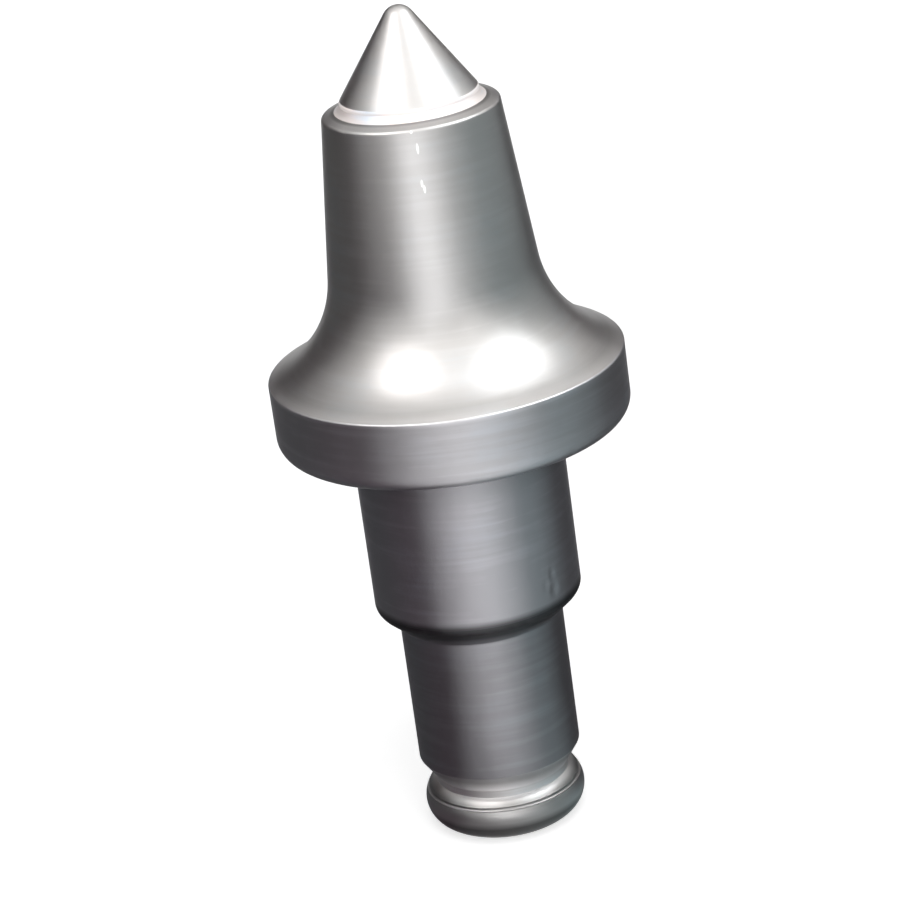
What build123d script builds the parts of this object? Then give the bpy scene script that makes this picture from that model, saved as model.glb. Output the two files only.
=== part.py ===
from build123d import *
from math import cos, hypot, radians, sin, sqrt, tan
import os

# Road milling pick: one forged and turned steel body with a hard metal tip brazed into its head.
# Millimetres. The origin is the centre of the collar's seat face, and +Z runs up the axis to the tip.

# Upper shank, the thick seat that turns in the holder's bore
upper_shank_radius = 19.0
upper_shank_length = 32.6
seat_root_round = 1.0

# Shoulder between the two shank diameters
shoulder_angle = 42.5
shoulder_round = 2.0
shoulder_root_round = 0.8

# Lower shank, the thin guide behind it
lower_shank_radius = 15.0
lower_shank_length = 27.2
lower_end_taper = 33.5

# Retaining groove between the lower shank and the bead
groove_radius = 12.5
groove_width = 1.3
groove_root_round = 0.5

# Bead, the full-round end that a retaining ring snaps over; it passes through the lower bore
bead_clearance = 0.1
bead_round = 4.75
crease_angle = 31.0
crease_round = 0.45
crease_depth = 0.28

# Turning centre in the shank's end face
centre_pilot_radius = 1.25
centre_mouth_radius = 2.65
centre_depth = 5.5
centre_angle = 60.0

# Collar
collar_radius = 32.0
collar_rim_height = 13.0
collar_top_slope = 23.6
collar_bottom_round = 3.2
collar_edge_round = 0.4
collar_land = 0.6

# Tapered head above the collar
head_height = 59.8
head_top_radius = 15.7
head_taper = 6.0
head_edge_round = 0.7
head_shoulder_slope = 17.0

# Hard metal tip
tip_radius = 12.25
tip_wall_height = 0.5
tip_wall_round = 1.0
tip_half_angle = 34.2
tip_nose_round = 3.0
tip_foot_rise = 1.2
tip_sunk_depth = 3.5
tip_boss_root_radius = 8.5
tip_boss_depth = 3.0
tip_boss_taper = 45.0
tip_seat_chamfer = 0.6

# Braze around the tip
braze_gap = 0.2
braze_bead_width = 0.9
braze_bead_hollow = 0.12

# Heights and radii that follow from the sizes above
shoulder_height = (upper_shank_radius - lower_shank_radius) * tan(radians(shoulder_angle))
shoulder_foot_z = -upper_shank_length - shoulder_height
lower_wall_end_z = shoulder_foot_z - lower_shank_length
groove_top_z = lower_wall_end_z - (lower_shank_radius - groove_radius) / tan(radians(lower_end_taper))
groove_bottom_z = groove_top_z - groove_width

bead_radius = lower_shank_radius - bead_clearance
bead_centre_radius = bead_radius - bead_round
bead_rise = sqrt(bead_round**2 - (groove_radius - bead_centre_radius) ** 2)
bead_centre_z = groove_bottom_z - bead_rise
shank_end_z = bead_centre_z - bead_round

# The collar's top cone and the head's flank meet in a sharp corner, which the flare rounds off.
top_slope = tan(radians(collar_top_slope))
flank_slope = tan(radians(head_taper))
head_foot_radius = head_top_radius + head_height * flank_slope
flare_corner_z = collar_rim_height + (collar_radius - head_foot_radius) * top_slope
flare_corner_z /= 1 - flank_slope * top_slope
flare_corner_radius = head_foot_radius - flare_corner_z * flank_slope
top_cone_length = hypot(collar_radius - flare_corner_radius, flare_corner_z - collar_rim_height)
flare_reach = top_cone_length - collar_land
flare_turn = 90 - head_taper - collar_top_slope
flare_round = flare_reach / tan(radians(flare_turn / 2))

# The pocket's mouth lies on the head's sloping shoulder.
pocket_radius = tip_radius + braze_gap
mouth_radius = pocket_radius + braze_bead_width
mouth_z = head_height + (head_top_radius - mouth_radius) * tan(radians(head_shoulder_slope))
head_apex_z = head_height + head_top_radius * tan(radians(head_shoulder_slope))
tip_foot_z = mouth_z + tip_foot_rise
tip_seat_z = tip_foot_z - tip_sunk_depth
tip_boss_z = tip_seat_z - tip_boss_depth
tip_boss_radius = tip_boss_root_radius - tip_boss_depth * tan(radians(tip_boss_taper))
tip_cone_z = tip_foot_z + tip_wall_height
sharp_apex_z = tip_cone_z + tip_radius / tan(radians(tip_half_angle))
nose_centre_z = sharp_apex_z - tip_nose_round / sin(radians(tip_half_angle))
nose_start_radius = tip_nose_round * cos(radians(tip_half_angle))
nose_start_z = nose_centre_z + tip_nose_round * sin(radians(tip_half_angle))


def corner(profile, radius, height):
    """The profile's sharp corner nearest to a radius and a height."""
    return profile.vertices().sort_by_distance((radius, height))[0]


def underside_points(gap):
    """The tip's stepped underside from the axis out to its wall, or with a gap, the pocket's floor."""
    return [
        (0, tip_boss_z - gap),
        (tip_boss_radius + gap, tip_boss_z - gap),
        (tip_boss_root_radius + gap, tip_seat_z - gap),
        (tip_radius + gap, tip_seat_z - gap),
    ]


def pocket_points():
    """The pocket from the axis up to the outer edge of its chamfered mouth."""
    mouth = [(pocket_radius, mouth_z - braze_bead_width), (mouth_radius, mouth_z)]
    return underside_points(braze_gap) + mouth


# Body: one turned outline from the bead's end face to the head, revolved about the axis
with BuildPart() as pick_body:
    with BuildSketch(Plane.XZ) as body_profile:
        with BuildLine():
            Line((0, shank_end_z), (bead_centre_radius, shank_end_z))
            bead_turn = 90 + Vector(1, 0).get_angle(Vector(groove_radius - bead_centre_radius, bead_rise))
            bead_arc = CenterArc((bead_centre_radius, bead_centre_z), bead_round, -90, bead_turn)
            Polyline(
                bead_arc @ 1,
                (groove_radius, groove_top_z),
                (lower_shank_radius, lower_wall_end_z),
                (lower_shank_radius, shoulder_foot_z),
                (upper_shank_radius, -upper_shank_length),
                (upper_shank_radius, 0),
                (collar_radius, 0),
                (collar_radius, collar_rim_height),
                (flare_corner_radius, flare_corner_z),
                (head_top_radius, head_height),
                (0, head_apex_z),
                (0, shank_end_z),
            )
        make_face()
        fillet(corner(body_profile, groove_radius, groove_bottom_z), groove_root_round)
        fillet(corner(body_profile, groove_radius, groove_top_z), groove_root_round)
        fillet(corner(body_profile, lower_shank_radius, shoulder_foot_z), shoulder_root_round)
        fillet(corner(body_profile, upper_shank_radius, -upper_shank_length), shoulder_round)
        fillet(corner(body_profile, upper_shank_radius, 0), seat_root_round)
        fillet(corner(body_profile, collar_radius, 0), collar_bottom_round)
        fillet(corner(body_profile, collar_radius, collar_rim_height), collar_edge_round)
        fillet(corner(body_profile, flare_corner_radius, flare_corner_z), flare_round)
        fillet(corner(body_profile, head_top_radius, head_height), head_edge_round)
    revolve(axis=Axis.Z)

    # Pocket for the tip
    with BuildSketch(Plane.XZ) as pocket_profile:
        with BuildLine():
            Polyline(*pocket_points(), (mouth_radius, head_apex_z), (0, head_apex_z), close=True)
        make_face()
        chamfer(corner(pocket_profile, pocket_radius, tip_seat_z - braze_gap), tip_seat_chamfer)
    revolve(axis=Axis.Z, mode=Mode.SUBTRACT)

    # Fine turned crease round the bead, above its widest line
    with BuildSketch(Plane.XZ):
        bead_centre = Vector(bead_centre_radius, bead_centre_z)
        crease_offset = Vector(bead_round + crease_round - crease_depth, 0).rotate(Axis.Z, crease_angle)
        with Locations(bead_centre + crease_offset):
            Circle(crease_round)
    revolve(axis=Axis.Z, mode=Mode.SUBTRACT)

    # Turning centre in the end face
    with Locations(Plane((0, 0, shank_end_z), z_dir=(0, 0, -1))):
        CounterSinkHole(centre_pilot_radius, centre_mouth_radius, centre_depth, centre_angle)

# Tip: cone with a rounded nose, a short wall and a stepped root
with BuildPart() as carbide_tip:
    with BuildSketch(Plane.XZ) as tip_profile:
        with BuildLine():
            Polyline(*underside_points(0), (tip_radius, tip_cone_z), (nose_start_radius, nose_start_z))
            nose_arc = CenterArc((0, nose_centre_z), tip_nose_round, tip_half_angle, 90 - tip_half_angle)
            Line(nose_arc @ 1, (0, tip_boss_z))
        make_face()
        chamfer(corner(tip_profile, tip_radius, tip_seat_z), tip_seat_chamfer)
        fillet(corner(tip_profile, tip_radius, tip_cone_z), tip_wall_round)
    revolve(axis=Axis.Z)

# Braze: fills the gap under and around the tip, and ends in a small bead at its foot
with BuildPart() as braze_joint:
    with BuildSketch(Plane.XZ) as braze_profile:
        with BuildLine():
            Polyline(*pocket_points())
            SagittaArc((mouth_radius, mouth_z), (tip_radius, tip_foot_z), braze_bead_hollow)
            Polyline((tip_radius, tip_foot_z), (0, tip_foot_z), (0, tip_boss_z - braze_gap))
        make_face()
        chamfer(corner(braze_profile, pocket_radius, tip_seat_z - braze_gap), tip_seat_chamfer)
    revolve(axis=Axis.Z)
    add(carbide_tip.part, mode=Mode.SUBTRACT)

pick_body.part.label = "pick_body"
carbide_tip.part.label = "carbide_tip"
braze_joint.part.label = "braze_joint"

os.makedirs("parts", exist_ok=True)
export_step(pick_body.part, "parts/pick_body.step")
export_step(carbide_tip.part, "parts/carbide_tip.step")
export_step(braze_joint.part, "parts/braze_joint.step")
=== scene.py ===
from math import acos, atan2, ceil, cos, degrees, hypot, pi, radians, sin, sqrt, tan

import bpy
from mathutils import Matrix, Vector, noise


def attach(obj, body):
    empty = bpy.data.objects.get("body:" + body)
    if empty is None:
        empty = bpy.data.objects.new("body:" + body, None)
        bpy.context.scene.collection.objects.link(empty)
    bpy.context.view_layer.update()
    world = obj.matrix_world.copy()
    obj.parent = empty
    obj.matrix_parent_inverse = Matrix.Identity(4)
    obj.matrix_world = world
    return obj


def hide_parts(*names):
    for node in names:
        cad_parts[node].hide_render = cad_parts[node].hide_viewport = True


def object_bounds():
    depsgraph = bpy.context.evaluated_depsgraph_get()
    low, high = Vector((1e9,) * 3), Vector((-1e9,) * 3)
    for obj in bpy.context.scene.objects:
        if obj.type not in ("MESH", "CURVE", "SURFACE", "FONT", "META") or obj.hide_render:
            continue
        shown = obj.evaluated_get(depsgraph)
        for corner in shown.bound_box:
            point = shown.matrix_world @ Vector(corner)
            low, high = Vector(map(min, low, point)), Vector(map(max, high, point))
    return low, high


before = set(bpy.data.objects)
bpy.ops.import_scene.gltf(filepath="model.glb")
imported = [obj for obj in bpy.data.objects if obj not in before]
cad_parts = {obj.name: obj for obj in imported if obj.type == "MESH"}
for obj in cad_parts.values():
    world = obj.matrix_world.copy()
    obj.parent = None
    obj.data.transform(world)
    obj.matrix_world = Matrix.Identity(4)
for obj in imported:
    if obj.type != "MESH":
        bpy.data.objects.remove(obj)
cad_low, cad_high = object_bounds()

MM = 0.001

# Turned outline of the body, in millimetres, as in the part's source
UPPER_SHANK_RADIUS = 19.0
UPPER_SHANK_LENGTH = 32.6
SEAT_ROOT_ROUND = 1.0
SHOULDER_ANGLE = 42.5
SHOULDER_ROUND = 2.0
SHOULDER_ROOT_ROUND = 0.8
LOWER_SHANK_RADIUS = 15.0
LOWER_SHANK_LENGTH = 27.2
LOWER_END_TAPER = 33.5
GROOVE_RADIUS = 12.5
GROOVE_WIDTH = 1.3
GROOVE_ROOT_ROUND = 0.5
BEAD_CLEARANCE = 0.1
BEAD_ROUND = 4.75
CREASE_ANGLE = 31.0
CREASE_ROUND = 0.45
CREASE_DEPTH = 0.28
CENTRE_PILOT_RADIUS = 1.25
CENTRE_MOUTH_RADIUS = 2.65
CENTRE_DEPTH = 5.5
CENTRE_ANGLE = 60.0
COLLAR_RADIUS = 32.0
COLLAR_RIM_HEIGHT = 13.0
COLLAR_TOP_SLOPE = 23.6
COLLAR_BOTTOM_ROUND = 3.2
COLLAR_EDGE_ROUND = 0.4
COLLAR_LAND = 0.6
HEAD_HEIGHT = 59.8
HEAD_TOP_RADIUS = 15.7
HEAD_TAPER = 6.0
HEAD_EDGE_ROUND = 0.7
HEAD_SHOULDER_SLOPE = 17.0

# Tip and braze
TIP_RADIUS = 12.25
TIP_WALL_HEIGHT = 0.5
TIP_WALL_ROUND = 1.0
TIP_HALF_ANGLE = 34.2
TIP_NOSE_ROUND = 3.0
TIP_FOOT_RISE = 1.2
TIP_SUNK_DEPTH = 3.5
TIP_BOSS_ROOT_RADIUS = 8.5
TIP_BOSS_DEPTH = 3.0
TIP_BOSS_TAPER = 45.0
TIP_SEAT_CHAMFER = 0.6
BRAZE_GAP = 0.2
BRAZE_BEAD_WIDTH = 0.9
BRAZE_BEAD_HOLLOW = 0.12

# The edge between the lower shank and its taper is broken by this much, inside the outline
EDGE_BREAK = 0.25

# Mesh density of the turned pieces, in millimetres and degrees
BODY_SEGMENTS = 288
TIP_SEGMENTS = 256
ROW_LENGTH = 0.8
ARC_STEP = 7.0
MIN_ARC_ROWS = 4
SHARP_ANGLE = 28.0

# Nearer to the axis or to each other than this, points are one
SAME_POINT = 1e-4

# Length of outline that fills the height of the UV map
RUN_SPAN = 350.0

# Camera, fitted to the outline in the photo: the axis leans to the left in the picture. Lengths are in
# metres, and the lens and its sensor in millimetres.
CAMERA_DISTANCE = 0.600
CAMERA_ELEVATION = 20.96
CAMERA_ROLL = -8.0
CAMERA_LENS = 133.3
CAMERA_SENSOR = 36.0
CAMERA_AIM_HEIGHT = -0.00435
CAMERA_NEAR = 0.01
CAMERA_FAR = 50.0
PICTURE_SIZE = 900
AXIS_OFFSET_PIXELS = 8.4

# Heights and radii that follow from the sizes
shoulder_height = (UPPER_SHANK_RADIUS - LOWER_SHANK_RADIUS) * tan(radians(SHOULDER_ANGLE))
shoulder_foot_z = -UPPER_SHANK_LENGTH - shoulder_height
lower_wall_end_z = shoulder_foot_z - LOWER_SHANK_LENGTH
groove_top_z = lower_wall_end_z - (LOWER_SHANK_RADIUS - GROOVE_RADIUS) / tan(radians(LOWER_END_TAPER))
groove_bottom_z = groove_top_z - GROOVE_WIDTH
bead_centre_radius = LOWER_SHANK_RADIUS - BEAD_CLEARANCE - BEAD_ROUND
bead_rise = sqrt(BEAD_ROUND**2 - (GROOVE_RADIUS - bead_centre_radius) ** 2)
bead_centre_z = groove_bottom_z - bead_rise
shank_end_z = bead_centre_z - BEAD_ROUND

# The collar's top cone and the head's flank meet in a sharp corner, which the flare rounds off
top_slope = tan(radians(COLLAR_TOP_SLOPE))
flank_slope = tan(radians(HEAD_TAPER))
head_foot_radius = HEAD_TOP_RADIUS + HEAD_HEIGHT * flank_slope
flare_corner_z = COLLAR_RIM_HEIGHT + (COLLAR_RADIUS - head_foot_radius) * top_slope
flare_corner_z /= 1 - flank_slope * top_slope
flare_corner_radius = head_foot_radius - flare_corner_z * flank_slope
top_cone_length = hypot(COLLAR_RADIUS - flare_corner_radius, flare_corner_z - COLLAR_RIM_HEIGHT)
flare_reach = top_cone_length - COLLAR_LAND
flare_round = flare_reach / tan(radians((90 - HEAD_TAPER - COLLAR_TOP_SLOPE) / 2))

# The pocket's mouth lies on the head's sloping shoulder
pocket_radius = TIP_RADIUS + BRAZE_GAP
mouth_radius = pocket_radius + BRAZE_BEAD_WIDTH
mouth_z = HEAD_HEIGHT + (HEAD_TOP_RADIUS - mouth_radius) * tan(radians(HEAD_SHOULDER_SLOPE))
tip_foot_z = mouth_z + TIP_FOOT_RISE
tip_seat_z = tip_foot_z - TIP_SUNK_DEPTH
tip_boss_z = tip_seat_z - TIP_BOSS_DEPTH
tip_boss_radius = TIP_BOSS_ROOT_RADIUS - TIP_BOSS_DEPTH * tan(radians(TIP_BOSS_TAPER))
tip_cone_z = tip_foot_z + TIP_WALL_HEIGHT
sharp_apex_z = tip_cone_z + TIP_RADIUS / tan(radians(TIP_HALF_ANGLE))
nose_centre_z = sharp_apex_z - TIP_NOSE_ROUND / sin(radians(TIP_HALF_ANGLE))

# Zones of the body, in the order of its materials. The pocket takes the groove's.
HEAD, RIM, SEAT, UPPER, SHOULDER, LOWER, TAPER, GROOVE, BEAD, END = range(10)
# Zones of the tip, whose wall has a film of braze on it, and the braze's one zone
CONE, WALL = range(2)
BRAZE = 0


# Geometry helpers: outlines are lists of (radius, height, zone) in millimetres
def polar(middle, reach, turn):
    """The point at a distance and an angle from a middle."""
    return middle[0] + reach * cos(turn), middle[1] + reach * sin(turn)


def arc(middle, radius, start, end, zone):
    """Points of an arc, all in one zone."""
    turn = end - start
    rows = max(MIN_ARC_ROWS, ceil(degrees(abs(turn)) / ARC_STEP), ceil(abs(turn) * radius / ROW_LENGTH))
    return [(*polar(middle, radius, start + turn * i / rows), zone) for i in range(rows + 1)]


def arc_between(middle, radius, first, last, zone):
    """Points of the shorter arc about a middle, from one point to another."""
    start = atan2(first[1] - middle[1], first[0] - middle[0])
    end = atan2(last[1] - middle[1], last[0] - middle[0])
    return arc(middle, radius, start, start + (end - start + pi) % (2 * pi) - pi, zone)


def rounded(corners):
    """Points from corners (radius, height, bend, zone), with an arc in place of each corner that bends."""
    points = []
    for i, (r, z, bend, zone) in enumerate(corners):
        if not bend:
            points.append((r, z, zone))
            continue
        here = Vector((r, z))
        before = Vector(corners[i - 1][:2]) - here
        after = Vector(corners[i + 1][:2]) - here
        half = before.angle(after) / 2
        reach = bend / tan(half)
        middle = here + (before.normalized() + after.normalized()).normalized() * bend / sin(half)
        first = here + before.normalized() * reach
        last = here + after.normalized() * reach
        points += arc_between(middle, bend, first, last, zone)
    return points


def divided(points):
    """The outline with its long runs cut into rows. A run takes the zone of its far end."""
    rows = [points[0]]
    for r, z, zone in points[1:]:
        r0, z0, _ = rows[-1]
        length = hypot(r - r0, z - z0)
        if length < SAME_POINT:
            continue
        cuts = ceil(length / ROW_LENGTH)
        rows += [(r0 + (r - r0) * i / cuts, z0 + (z - z0) * i / cuts, zone) for i in range(1, cuts + 1)]
    return rows


def rings_round(rows, segments):
    """Vertices round the axis, and each row's list of their numbers. A row on the axis has one vertex."""
    verts, rings = [], []
    for r, z, _ in rows:
        if r < SAME_POINT:
            rings.append([len(verts)] * segments)
            verts.append(Vector((0, 0, z)))
            continue
        rings.append(list(range(len(verts), len(verts) + segments)))
        turns = [2 * pi * i / segments for i in range(segments)]
        verts += [Vector((r * sin(t), -r * cos(t), z)) for t in turns]
    return verts, rings


def faces_between(low, high, v0, v1):
    """The faces from one ring to the next, and the UV places of their corners."""
    segments = len(low)
    faces, uvs = [], []
    for i in range(segments):
        j = (i + 1) % segments
        u0, u1 = i / segments, (i + 1) / segments
        corners = [(low[i], u0, v0), (low[j], u1, v0), (high[j], u1, v1), (high[i], u0, v1)]
        if low[i] == low[j]:
            corners.pop(1)
        if high[i] == high[j]:
            corners.pop(2)
        faces.append([c[0] for c in corners])
        uvs += [c[1:] for c in corners]
    return faces, uvs


def lathe(name, points, segments, shape=None, closed=False):
    """A solid of revolution, from an outline that is closed or ends on the axis. Shape moves its vertices.

    Each row's zone is its material index, and the UV map's height is the run along the outline.
    """
    rows = divided(points)
    runs = [0.0]
    for (r0, z0, _), (r1, z1, _) in zip(rows, rows[1:]):
        runs.append(runs[-1] + hypot(r1 - r0, z1 - z0))
    verts, rings = rings_round(rows[:-1] if closed else rows, segments)
    if closed:
        rings.append(rings[0])
    if shape:
        verts = [shape(v) for v in verts]
    faces, zones, uvs = [], [], []
    for k, (low, high) in enumerate(zip(rings, rings[1:])):
        ring_faces, ring_uvs = faces_between(low, high, runs[k] / RUN_SPAN, runs[k + 1] / RUN_SPAN)
        faces += ring_faces
        uvs += ring_uvs
        zones += [rows[k + 1][2]] * segments

    mesh = bpy.data.meshes.new(name)
    mesh.from_pydata([v * MM for v in verts], [], faces)
    layer = mesh.uv_layers.new(name="UVMap")
    for loop, uv in zip(layer.data, uvs):
        loop.uv = uv
    mesh.polygons.foreach_set("material_index", zones)
    mesh.shade_smooth()
    mesh.set_sharp_from_angle(angle=radians(SHARP_ANGLE))
    mesh.update()
    piece = bpy.data.objects.new(name, mesh)
    bpy.context.scene.collection.objects.link(piece)
    return piece


# Outlines of the three pieces
def seat_corners(gap, zone):
    """The stepped underside of the tip from the axis out, or with a gap, the pocket's floor."""
    chamfer = TIP_SEAT_CHAMFER
    return [
        (0, tip_boss_z - gap, 0, zone),
        (tip_boss_radius + gap, tip_boss_z - gap, 0, zone),
        (TIP_BOSS_ROOT_RADIUS + gap, tip_seat_z - gap, 0, zone),
        (TIP_RADIUS + gap - chamfer, tip_seat_z - gap, 0, zone),
        (TIP_RADIUS + gap, tip_seat_z - gap + chamfer, 0, zone),
    ]


def bead_points():
    """The bead's full round from the end face up to the groove, with the turned crease in it."""
    middle = (bead_centre_radius, bead_centre_z)
    top = atan2(bead_rise, GROOVE_RADIUS - bead_centre_radius)
    crease = radians(CREASE_ANGLE)
    reach = BEAD_ROUND + CREASE_ROUND - CREASE_DEPTH
    spread = acos((BEAD_ROUND**2 + reach**2 - CREASE_ROUND**2) / (2 * BEAD_ROUND * reach))
    low, high = crease - spread, crease + spread
    first, last = polar(middle, BEAD_ROUND, low), polar(middle, BEAD_ROUND, high)
    points = arc(middle, BEAD_ROUND, -pi / 2, low, BEAD)
    points += arc_between(polar(middle, reach, crease), CREASE_ROUND, first, last, BEAD)
    return points + arc(middle, BEAD_ROUND, high, top, BEAD)


def body_points():
    """The body's whole outline, from the turning centre round to the pocket's floor."""
    countersink_depth = (CENTRE_MOUTH_RADIUS - CENTRE_PILOT_RADIUS) / tan(radians(CENTRE_ANGLE / 2))
    centre = [
        (0, shank_end_z + CENTRE_DEPTH, 0, END),
        (CENTRE_PILOT_RADIUS, shank_end_z + CENTRE_DEPTH, 0, END),
        (CENTRE_PILOT_RADIUS, shank_end_z + countersink_depth, 0, END),
        (CENTRE_MOUTH_RADIUS, shank_end_z, 0, END),
        (bead_centre_radius, shank_end_z, 0, END),
    ]
    above = [
        (GROOVE_RADIUS, groove_bottom_z, 0, GROOVE),
        (GROOVE_RADIUS, groove_top_z, GROOVE_ROOT_ROUND, GROOVE),
        (LOWER_SHANK_RADIUS, lower_wall_end_z, EDGE_BREAK, TAPER),
        (LOWER_SHANK_RADIUS, shoulder_foot_z, SHOULDER_ROOT_ROUND, LOWER),
        (UPPER_SHANK_RADIUS, -UPPER_SHANK_LENGTH, SHOULDER_ROUND, SHOULDER),
        (UPPER_SHANK_RADIUS, 0, SEAT_ROOT_ROUND, UPPER),
        (COLLAR_RADIUS - COLLAR_BOTTOM_ROUND, 0, 0, SEAT),
        (COLLAR_RADIUS, 0, COLLAR_BOTTOM_ROUND, RIM),
        (COLLAR_RADIUS, COLLAR_RIM_HEIGHT, COLLAR_EDGE_ROUND, RIM),
        (flare_corner_radius, flare_corner_z, flare_round, HEAD),
        (HEAD_TOP_RADIUS, HEAD_HEIGHT, HEAD_EDGE_ROUND, HEAD),
        (mouth_radius, mouth_z, 0, HEAD),
        (pocket_radius, mouth_z - BRAZE_BEAD_WIDTH, 0, GROOVE),
    ]
    pocket = list(reversed(seat_corners(BRAZE_GAP, GROOVE)))
    return rounded(centre) + bead_points() + rounded(above + pocket)


def tip_points():
    """The tip's outline from the middle of its root. The nose takes the place of the cone's sharp apex."""
    half = radians(TIP_HALF_ANGLE)
    wall = seat_corners(0, WALL)
    wall += [(TIP_RADIUS, tip_cone_z, TIP_WALL_ROUND, WALL), (0, sharp_apex_z, 0, CONE)]
    return rounded(wall)[:-1] + arc((0, nose_centre_z), TIP_NOSE_ROUND, half, pi / 2, CONE)


def braze_points():
    """The braze's closed section: the gap under the tip and the small bead round its foot."""
    outer = seat_corners(BRAZE_GAP, BRAZE)
    outer.append((pocket_radius, mouth_z - BRAZE_BEAD_WIDTH, 0, BRAZE))
    inner = list(reversed(seat_corners(0, BRAZE)))
    low, high = Vector((mouth_radius, mouth_z)), Vector((TIP_RADIUS, tip_foot_z))
    along = high - low
    half = along.length / 2
    hollow_round = (half**2 + BRAZE_BEAD_HOLLOW**2) / (2 * BRAZE_BEAD_HOLLOW)
    outward = Vector((along.y, -along.x)).normalized()
    middle = (low + high) / 2 + outward * (hollow_round - BRAZE_BEAD_HOLLOW)
    return rounded(outer) + arc_between(middle, hollow_round, low, high, BRAZE) + rounded(inner)


# Surface form that a lathe would not leave: slight waves of hand finishing, in millimetres, and knocks
WAVE_HEIGHT = 0.025
WAVE_LENGTH = 14.0
# Knocks: turn in degrees from the front, then height, radius and depth in millimetres
KNOCKS = (
    (45.0, -25.4, 1.1, 0.20),
    (39.5, -27.0, 1.0, 0.16),
    (45.5, -28.4, 1.5, 0.26),
    (38.0, 1.9, 1.2, 0.10),
    (-64.0, 3.0, 1.4, 0.10),
    (150.0, -12.0, 1.5, 0.12),
    (-140.0, 9.0, 1.3, 0.12),
)


def worked(point):
    """A body vertex after finishing: moved inwards by the waves and by any knock that it lies in.

    The pocket, the end face and its turning centre stay as they were turned.
    """
    radius = hypot(point.x, point.y)
    if radius < pocket_radius:
        return point
    depth = WAVE_HEIGHT * (0.5 + 0.5 * noise.noise(point / WAVE_LENGTH))
    turn = degrees(atan2(point.x, -point.y))
    for angle, height, size, deep in KNOCKS:
        away = hypot(radians(turn - angle) * radius, point.z - height) / size
        if away < 1:
            depth += deep * (1 - away**2) ** 2
    return Vector((point.x * (1 - depth / radius), point.y * (1 - depth / radius), point.z))


# Materials: sockets of a Mix node that blends colours
MIX_SHARE, MIX_A, MIX_B = 0, 6, 7
MIX_COLOUR = 2

WHITE = (1, 1, 1, 1)


class Graph:
    """A material's nodes, with short calls for the few kinds used here."""

    def __init__(self, name):
        self.material = bpy.data.materials.new(name)
        self.material.use_nodes = True
        self.nodes = self.material.node_tree.nodes
        self.links = self.material.node_tree.links
        self.shader = self.nodes["Principled BSDF"]
        self.output = self.nodes["Material Output"]

    def put(self, kind, inputs=(), **settings):
        """A new node. Each input is a link from another node, or a value."""
        node = self.nodes.new(kind)
        for key, value in settings.items():
            setattr(node, key, value)
        for key, value in dict(inputs).items():
            if isinstance(value, bpy.types.NodeSocket):
                self.links.new(value, node.inputs[key])
            else:
                node.inputs[key].default_value = value
        return node

    def math(self, operation, a, b=0.0):
        return self.put("ShaderNodeMath", {0: a, 1: b}, operation=operation).outputs[0]

    def spread(self, value, low, high, to_low, to_high):
        """The value's way from low to high as a way between two others, and held beyond them."""
        inputs = {"Value": value, "From Min": low, "From Max": high, "To Min": to_low, "To Max": to_high}
        return self.put("ShaderNodeMapRange", inputs).outputs[0]

    def blend(self, share, a, b):
        """Colour b by its share, and colour a by the rest."""
        inputs = {MIX_SHARE: share, MIX_A: a, MIX_B: b}
        return self.put("ShaderNodeMix", inputs, data_type="RGBA").outputs[MIX_COLOUR]

    def speckle(self, place, scale, detail):
        """A noise between 0 and 1."""
        inputs = {"Vector": place, "Scale": scale, "Detail": detail}
        return self.put("ShaderNodeTexNoise", inputs).outputs["Fac"]

    def flat(self, place):
        """The place without its height."""
        return self.put("ShaderNodeVectorMath", {0: place, 1: (1, 1, 0)}, operation="MULTIPLY").outputs[0]

    def from_axis(self, place):
        """The place's distance from the part's axis."""
        flat = self.flat(place)
        return self.put("ShaderNodeVectorMath", {0: flat}, operation="LENGTH").outputs["Value"]


# A warm cast raises red, and lowers green and blue by these shares of that
CAST_GREEN = 0.3
CAST_BLUE = 0.6


def grey(level, warm=0.0, blue=0.0):
    """An opaque grey, with warm above 0 for a pinkish cast, and a share of blue added."""
    green_level = level * (1 - abs(warm) * CAST_GREEN)
    return (level * (1 + warm), green_level, level * (1 - warm * CAST_BLUE + blue), 1)


# Small nicks on the head with painted glints, near white: turn in degrees from the front, then height,
# half width and half height in millimetres
NICK_GLINTS = (
    (-2.0, 59.5, 0.26, 0.30),
    (0.5, 56.6, 0.25, 1.05),
    (0.2, 50.6, 0.24, 0.75),
    (1.3, 49.6, 0.24, 0.80),
)
NICK_GLINT_TONE = (0.96, 0.96, 0.96, 1)
NICK_GLINT_SOFT = 0.5

# Painted light and shade by height: two heights in millimetres, and the share of the tone at and beyond
# each.
# A painted highlight along the collar's top edge, painted shade inside it, and painted shade round the
# tip.
HEAD_PAINTED_LIGHT_AND_SHADE = ((13.3, 14.2, 1.3, 1.0), (14.0, 18.0, 0.80, 1.0), (60.25, 60.4, 1.0, 0.6))
# Painted highlight along the rim's top edge, and a little painted light at its lower one
RIM_PAINTED_LIGHT = ((0.5, 6.0, 1.2, 1.0), (12.1, 12.75, 1.0, 1.3))
# Painted shade under the collar, and towards the shoulder
UPPER_PAINTED_SHADE = ((-9.0, -2.5, 1.0, 0.7), (-31.5, -30.3, 0.25, 1.0))
# The shoulder's painted shade lightens at its foot
SHOULDER_PAINTED_SHADE_FADE = ((-35.9, -34.2, 4.0, 1.0),)
# Painted light towards the groove
TAPER_PAINTED_LIGHT = ((-67.0, -64.6, 1.7, 1.0),)
# Painted highlights above and below the bead's crease, and painted shade at its foot
BEAD_PAINTED_LIGHT_AND_SHADE = (
    (-69.6, -68.5, 0.6, 1.25),
    (-70.6, -70.3, 1.4, 1.0),
    (-71.7, -71.2, 0.97, 1.0),
    (-74.2, -72.9, 0.33, 1.0),
)

# Turning rings: their width in millimetres
RING_WIDTH = 0.5
# Streaks of stain: how fine they are round the axis, per metre, and along the outline, per millimetre
STREAKS_ROUND = 45.0
STREAKS_ALONG = 0.9
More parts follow.
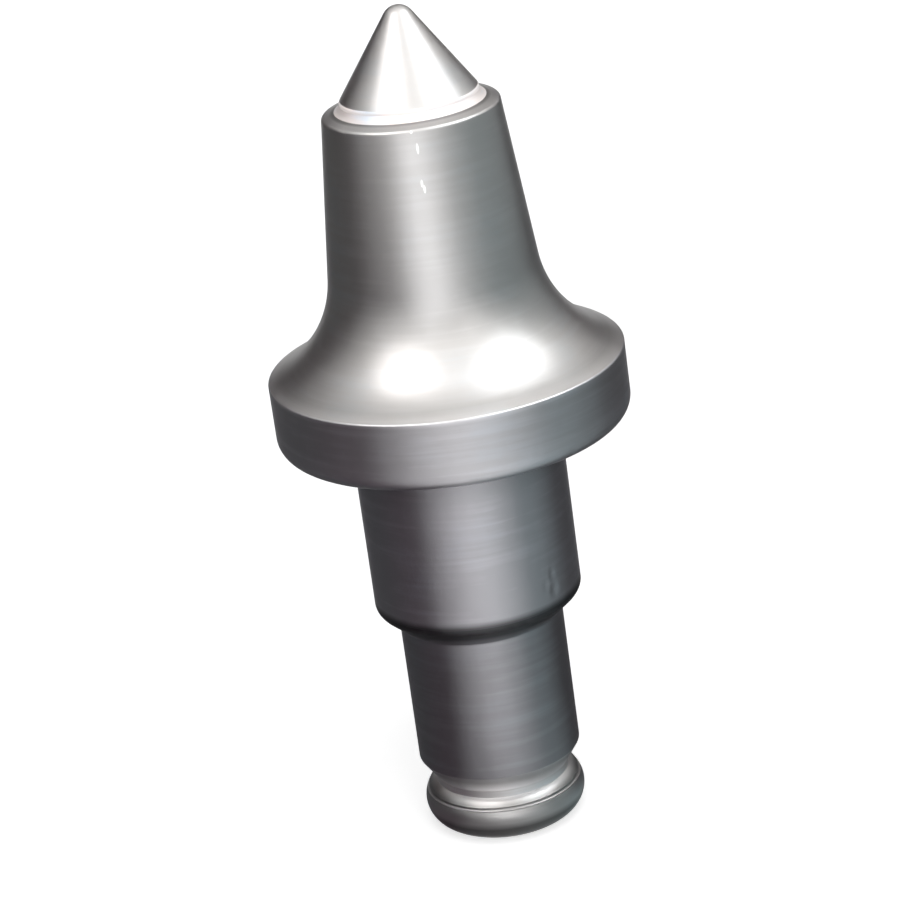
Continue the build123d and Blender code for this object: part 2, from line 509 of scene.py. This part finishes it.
# Clouds and grit: their scales, and how much the clouds lighten and darken the tone
CLOUD_SCALE = 85.0
GRIT_SCALE = 1400.0
BLOTCH = 0.07
# Noise values between which a blend runs from one end to the other
NOISE_LOW = 0.35
NOISE_HIGH = 0.65
STAIN_LOW = 0.22
STAIN_HIGH = 0.42
# Change of the roughness up and down, and the streaks' share in it beside the clouds
ROUGH_SWING = 0.012
STREAK_SHARE = 0.6


def nick_glint_share(g, parts, turn, height, wide, tall):
    """1 inside a small upright oval on the front of the head, where a nick's painted glint goes, and 0
    outside it.
    """
    t = radians(turn)
    across = g.math("ADD", g.math("MULTIPLY", parts[0], cos(t)), g.math("MULTIPLY", parts[1], sin(t)))
    across = g.math("DIVIDE", across, wide * MM)
    up = g.math("DIVIDE", g.math("SUBTRACT", parts[2], height * MM), tall * MM)
    away = g.math("ADD", g.math("MULTIPLY", across, across), g.math("MULTIPLY", up, up))
    front = g.math("LESS_THAN", parts[1], 0.0)
    return g.math("MULTIPLY", g.spread(away, NICK_GLINT_SOFT, 1.0, 1, 0), front)


def steel_bumps(g, place, run, ring_height, grain):
    """The surface direction after the turning rings and the grit, whose heights are in millimetres."""
    fine = {"W": run, "Scale": 1 / RING_WIDTH, "Detail": 3.0, "Roughness": 0.6}
    ring = g.put("ShaderNodeTexNoise", fine, noise_dimensions="1D").outputs["Fac"]
    rings = {"Height": ring, "Distance": ring_height * MM, "Strength": 1.0}
    ringed = g.put("ShaderNodeBump", rings).outputs[0]
    grit = {"Height": g.speckle(place, GRIT_SCALE, 2.0), "Distance": grain * MM, "Strength": 1.0}
    return g.put("ShaderNodeBump", {**grit, "Normal": ringed}).outputs[0]


def steel(
    name, level, rough, ring_height=0.002, grain=0.001,
    stain=0.1, warm=0.02, blue=0.0, painted_shading=(), nick_glints=(),
):
    """Turned metal: fine rings round the axis, a faint grain, clouds of stain and slow changes of tint,
    with painted light and shade by height and painted glints on nicks.
    """
    g = Graph(name)
    place = g.put("ShaderNodeTexCoord").outputs["Object"]
    parts = g.put("ShaderNodeSeparateXYZ", {0: place}).outputs
    uv = g.put("ShaderNodeUVMap", uv_map="UVMap").outputs[0]
    run = g.math("MULTIPLY", g.put("ShaderNodeSeparateXYZ", {0: uv}).outputs[1], RUN_SPAN)
    round_axis = [g.math("MULTIPLY", parts[i], STREAKS_ROUND) for i in (0, 1)]
    streaked = {0: round_axis[0], 1: round_axis[1], 2: g.math("MULTIPLY", run, STREAKS_ALONG)}
    streak = g.speckle(g.put("ShaderNodeCombineXYZ", streaked).outputs[0], 1.0, 4.0)
    cloud = g.speckle(place, CLOUD_SCALE, 5.0)

    light = grey(level * (1 + BLOTCH), warm, blue)
    shade = grey(level * (1 - BLOTCH), -warm, blue)
    stained = grey(level * (1 - stain), warm * 0.5, blue)
    tone = g.blend(g.spread(cloud, NOISE_LOW, NOISE_HIGH, 0, 1), light, shade)
    stains = g.spread(g.math("MULTIPLY", streak, cloud), STAIN_LOW, STAIN_HIGH, 1, 0)
    tone = g.blend(stains, tone, stained)
    # Painted light and shade: the tone is scaled up or down with height
    for low, high, low_share, high_share in painted_shading:
        share = g.spread(parts[2], low * MM, high * MM, low_share, high_share)
        tone = g.put("ShaderNodeVectorMath", {0: tone, "Scale": share}, operation="SCALE").outputs[0]
    # Painted glints on the nicks, in near white
    for glint in nick_glints:
        tone = g.blend(nick_glint_share(g, parts, *glint), tone, NICK_GLINT_TONE)
    g.links.new(tone, g.shader.inputs["Base Color"])

    streak_part = g.math("MULTIPLY", streak, STREAK_SHARE)
    mixed = g.math("ADD", streak_part, g.math("MULTIPLY", cloud, 1 - STREAK_SHARE))
    dullness = g.spread(mixed, NOISE_LOW, NOISE_HIGH, rough - ROUGH_SWING, rough + ROUGH_SWING)
    g.links.new(dullness, g.shader.inputs["Roughness"])
    g.links.new(steel_bumps(g, place, run, ring_height, grain), g.shader.inputs["Normal"])
    g.shader.inputs["Metallic"].default_value = 1.0
    return g.material


def make_body():
    body = lathe("turned_body", body_points(), BODY_SEGMENTS, worked)
    finishes = {
        HEAD: steel("steel_head", 0.60, 0.295, painted_shading=HEAD_PAINTED_LIGHT_AND_SHADE, nick_glints=NICK_GLINTS),
        RIM: steel("steel_rim", 0.59, 0.30, stain=0.18, blue=0.04, painted_shading=RIM_PAINTED_LIGHT),
        # Painted shade: the collar's underside is darker steel than the rest
        SEAT: steel("steel_seat_painted_shade", 0.28, 0.36),
        UPPER: steel("steel_upper_shank", 0.54, 0.29, stain=0.18, blue=0.06, painted_shading=UPPER_PAINTED_SHADE),
        # Painted shade: the shoulder's steel is far darker than the rest of the body
        SHOULDER: steel("steel_shoulder_painted_shade", 0.09, 0.40, stain=0.2, blue=0.06, painted_shading=SHOULDER_PAINTED_SHADE_FADE),
        # Painted shade: the lower shank's steel is darker than the upper shank's
        LOWER: steel("steel_lower_shank_painted_shade", 0.385, 0.30, stain=0.18, blue=0.06),
        # Painted light: the taper's steel is lighter than the lower shank's
        TAPER: steel("steel_taper_painted_light", 0.55, 0.31, blue=0.02, painted_shading=TAPER_PAINTED_LIGHT),
        # Painted reflection: the groove's steel is near white, where it mirrors the bead's bright top
        GROOVE: steel("steel_groove_painted_light", 0.95, 0.36, stain=0.2, warm=0.03),
        BEAD: steel("steel_bead", 0.60, 0.295, painted_shading=BEAD_PAINTED_LIGHT_AND_SHADE),
        END: steel("steel_end", 0.40, 0.36),
    }
    for zone in sorted(finishes):
        body.data.materials.append(finishes[zone])
    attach(body, "root")
    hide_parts("pick_body")


def make_tip():
    tip = lathe("hard_metal_tip", tip_points(), TIP_SEGMENTS)
    finishes = {
        CONE: steel("hard_metal", 0.57, 0.30, ring_height=0.0005, grain=0.0006, stain=0.04),
        WALL: steel("braze_film", 0.97, 0.80, ring_height=0.0, stain=0.04, warm=0.07),
    }
    for zone in sorted(finishes):
        tip.data.materials.append(finishes[zone])
    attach(tip, "root")
    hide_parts("carbide_tip")


def make_braze():
    braze = lathe("braze_ring", braze_points(), TIP_SEGMENTS, closed=True)
    braze.data.materials.append(steel("braze_metal", 0.90, 0.60, ring_height=0.0, grain=0.002, warm=0.09))
    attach(braze, "root")
    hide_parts("braze_joint")


# Studio, in metres: the light that the room gives, and how bright it shows
ROOM_LIGHT = 0.45
BACKGROUND = 1.0
FLOOR_SIZE = 12.0
FLOOR_ALBEDO = 0.8
# The floor's own glow rises from one distance from the axis to another
FLOOR_NEAR = 0.25
FLOOR_FAR = 0.9
FLOOR_GLOW_NEAR = 0.60
FLOOR_GLOW_FAR = 1.0

# Lamps: azimuth and elevation, distance, size and brightness
LAMPS = (
    ("key", 6, 34, 0.9, (0.45, 0.75), 2.6),
    ("low_front", 6, 2, 0.9, (0.42, 0.35), 1.6),
    ("top", 20, 74, 0.8, (0.35, 0.35), 4.0),
)

# Cloths over the object, from the outermost in. Each has the azimuth and elevation of its axis, the angles
# from that axis at which it is clear and full, and its glow in red, green and blue.
TENTS = (
    ("top_cloth", 187, 88.5, 99, 56, (1.57, 1.545, 1.505)),
    ("top_left_patch", -49, 52, 24.5, 16, (3.2, 3.12, 3.06)),
    ("top_right_patch", 74, 52, 27, 17, (3.1, 3.15, 3.15)),
    ("front_cloth", -4, -11, 36.5, 4, (2.77, 2.77, 2.77)),
    ("front_low_cloth", -5, -46, 30, 4, (2.7, 2.7, 2.7)),
    ("back_cloth", -154.5, -52, 143.5, 75, (0.065, 0.056, 0.059)),
    ("right_cloth", 79, -26.5, 72.5, 28, (0.28, 0.32, 0.326)),
    ("low_cloth", 206, -74, 83, 75, (0.09, 0.09, 0.09)),
    ("behind_cloth", 180, -5, 28, 3, (0.9, 0.9, 0.9)),
)
TENT_RADIUS = 0.5
TENT_GAP = 0.004
TENT_STEPS = 48

# A round cloth under the object, which fades outwards from one radius to another
FOOT_FULL = 0.018
FOOT_CLEAR = 0.065
FOOT_GLOW = (0.5, 0.5, 0.5)

# Cloths on the floor, from the lowest up. Each has the azimuth of its axis, the angles from that axis at
# which it is clear and full, and its glow.
FLOOR_CLOTHS = (
    ("floor_right", 97, 101, 38, (0.30, 0.353, 0.363)),
    ("floor_left", -107, 124, 52, (0.097, 0.080, 0.092)),
    ("floor_back", 180, 110, 70, (0.08, 0.08, 0.085)),
    ("floor_behind", 180, 34, 4, (0.42, 0.42, 0.43)),
)
FLOOR_CLOTH_REACH = 0.5
FLOOR_CLOTH_GAP = 0.0005


def shown_rays(nodes, links):
    """1 for camera, glossy and transmission rays, and 0 for the rest."""
    path = nodes.new("ShaderNodeLightPath")
    total = path.outputs["Is Camera Ray"]
    for name in ("Is Glossy Ray", "Is Transmission Ray"):
        both = nodes.new("ShaderNodeMath")
        both.operation = "MAXIMUM"
        links.new(total, both.inputs[0])
        links.new(path.outputs[name], both.inputs[1])
        total = both.outputs[0]
    return total


def make_world():
    world = bpy.data.worlds.new("studio")
    bpy.context.scene.world = world
    world.use_nodes = True
    nodes, links = world.node_tree.nodes, world.node_tree.links
    back = nodes["Background"]
    back.inputs["Color"].default_value = WHITE
    level = nodes.new("ShaderNodeMapRange")
    level.inputs["To Min"].default_value = ROOM_LIGHT
    level.inputs["To Max"].default_value = BACKGROUND
    links.new(shown_rays(nodes, links), level.inputs["Value"])
    links.new(level.outputs[0], back.inputs["Strength"])


def sheet(name, points):
    """A flat or bent stage piece from rows of points."""
    verts = [p for row in points for p in row]
    width = len(points[0])
    faces = []
    for k in range(len(points) - 1):
        for i in range(width - 1):
            a = k * width + i
            faces.append((a, a + 1, a + 1 + width, a + width))
    mesh = bpy.data.meshes.new(name)
    mesh.from_pydata(verts, [], faces)
    piece = bpy.data.objects.new(name, mesh)
    bpy.context.scene.collection.objects.link(piece)
    return piece


def square_sheet(name, reach, level):
    """A level square round the axis that reaches as far on each side."""
    return sheet(name, [[(-reach, y, level), (reach, y, level)] for y in (-reach, reach)])


def make_floor():
    floor = square_sheet("floor", FLOOR_SIZE / 2, cad_low.z)
    g = Graph("pale_floor")
    g.nodes.remove(g.shader)
    away = g.from_axis(g.put("ShaderNodeTexCoord").outputs["Object"])
    glow = g.spread(away, FLOOR_NEAR, FLOOR_FAR, FLOOR_GLOW_NEAR, FLOOR_GLOW_FAR)
    glow = g.math("MULTIPLY", glow, shown_rays(g.nodes, g.links))
    pale = (FLOOR_ALBEDO, FLOOR_ALBEDO, FLOOR_ALBEDO, 1)
    lit = g.put("ShaderNodeBsdfDiffuse", {"Color": pale}).outputs[0]
    shine = g.put("ShaderNodeEmission", {"Color": WHITE, "Strength": glow}).outputs[0]
    both = g.put("ShaderNodeAddShader", {0: lit, 1: shine}).outputs[0]
    g.links.new(both, g.output.inputs["Surface"])
    floor.data.materials.append(g.material)


def only_in_reflections(piece):
    piece.visible_camera = False
    piece.visible_diffuse = False
    piece.visible_shadow = False
    piece.visible_transmission = False
    piece.visible_volume_scatter = False


def heading(azimuth, elevation):
    """The direction at two angles in degrees. Azimuth 0 faces the camera, and 90 is on its right."""
    a, e = radians(azimuth), radians(elevation)
    return Vector((sin(a) * cos(e), -cos(a) * cos(e), sin(e)))


def soft_glow(piece, glow, measure):
    """A glow that fades out softly. Measure gives its share from the place on the piece."""
    g = Graph(piece.name)
    g.nodes.remove(g.shader)
    share = measure(g, g.put("ShaderNodeTexCoord").outputs["Object"])
    shine = g.put("ShaderNodeEmission", {"Color": (*glow, 1), "Strength": 1.0}).outputs[0]
    clear = g.put("ShaderNodeBsdfTransparent").outputs[0]
    both = g.put("ShaderNodeMixShader", {0: share, 1: clear, 2: shine}).outputs[0]
    g.links.new(both, g.output.inputs["Surface"])
    piece.data.materials.append(g.material)
    only_in_reflections(piece)


def share_near(g, place, axis, full, clear):
    """1 within one angle of an axis, seen from the origin, fading to 0 at another. They are in degrees."""
    along = g.put("ShaderNodeVectorMath", {0: place}, operation="NORMALIZE").outputs[0]
    dot = g.put("ShaderNodeVectorMath", {0: along, 1: tuple(axis)}, operation="DOT_PRODUCT")
    away = g.math("MULTIPLY", g.math("ARCCOSINE", dot.outputs["Value"]), degrees(1))
    return g.spread(away, full, clear, 1, 0)


def tent(name, azimuth, elevation, clear, full, glow, radius):
    """A round cloth over the object, full within one angle of its axis and clear beyond another."""
    turns = [2 * pi * i / TENT_STEPS for i in range(TENT_STEPS + 1)]
    rows = []
    for k in range(TENT_STEPS // 2 + 1):
        height, reach = -radius * cos(turns[k]), radius * sin(turns[k])
        rows.append([(reach * sin(t), -reach * cos(t), height) for t in turns])
    axis = heading(azimuth, elevation)
    soft_glow(sheet(name, rows), glow, lambda g, place: share_near(g, place, axis, full, clear))


def foot_cloth(level):
    """The round cloth under the object."""

    def share(g, place):
        return g.spread(g.from_axis(place), FOOT_FULL, FOOT_CLEAR, 1, 0)

    soft_glow(square_sheet("foot_cloth", FOOT_CLEAR, level), FOOT_GLOW, share)


def floor_cloth(name, azimuth, clear, full, glow, level):
    """A cloth on the floor, full within one angle of its azimuth and clear beyond another."""
    piece = square_sheet(name, FLOOR_CLOTH_REACH, level)
    axis = heading(azimuth, 0)
    soft_glow(piece, glow, lambda g, place: share_near(g, g.flat(place), axis, full, clear))


def softbox(name, azimuth, elevation, distance, size, brightness):
    """A rectangular lamp aimed at the collar, which the metal doesn't mirror."""
    lamp = bpy.data.lights.new(name, "AREA")
    lamp.shape = "RECTANGLE"
    lamp.size, lamp.size_y = size
    lamp.energy = brightness * pi * size[0] * size[1]
    away = heading(azimuth, elevation)
    piece = bpy.data.objects.new(name, lamp)
    piece.visible_glossy = False
    piece.location = away * distance
    piece.rotation_mode = "QUATERNION"
    piece.rotation_quaternion = away.to_track_quat("Z", "Y")
    bpy.context.scene.collection.objects.link(piece)


def make_lights():
    for lamp in LAMPS:
        softbox(*lamp)
    for i, cloth in enumerate(TENTS):
        tent(*cloth, TENT_RADIUS - TENT_GAP * i)
    foot_cloth(cad_low.z + FLOOR_CLOTH_GAP)
    for i, cloth in enumerate(FLOOR_CLOTHS):
        floor_cloth(*cloth, cad_low.z + FLOOR_CLOTH_GAP * (i + 2))


def make_camera():
    camera = bpy.data.cameras.new("camera")
    camera.lens = CAMERA_LENS
    camera.sensor_width = CAMERA_SENSOR
    camera.clip_start = CAMERA_NEAR
    camera.clip_end = CAMERA_FAR
    piece = bpy.data.objects.new("camera", camera)
    bpy.context.scene.collection.objects.link(piece)
    away = heading(0, CAMERA_ELEVATION)
    look = away.to_track_quat("Z", "Y").to_matrix()
    turn = look @ Matrix.Rotation(radians(CAMERA_ROLL), 3, "Z")
    metres_per_pixel = CAMERA_DISTANCE * CAMERA_SENSOR / CAMERA_LENS / PICTURE_SIZE
    aside = look @ Vector((-AXIS_OFFSET_PIXELS * metres_per_pixel, 0, 0))
    aim = Vector((0, 0, CAMERA_AIM_HEIGHT)) + aside
    piece.matrix_world = Matrix.Translation(aim + away * CAMERA_DISTANCE) @ turn.to_4x4()
    bpy.context.scene.camera = piece


make_camera()
make_world()
make_floor()
make_lights()
make_body()
make_tip()
make_braze()

bpy.context.scene.view_settings.view_transform = "Standard"
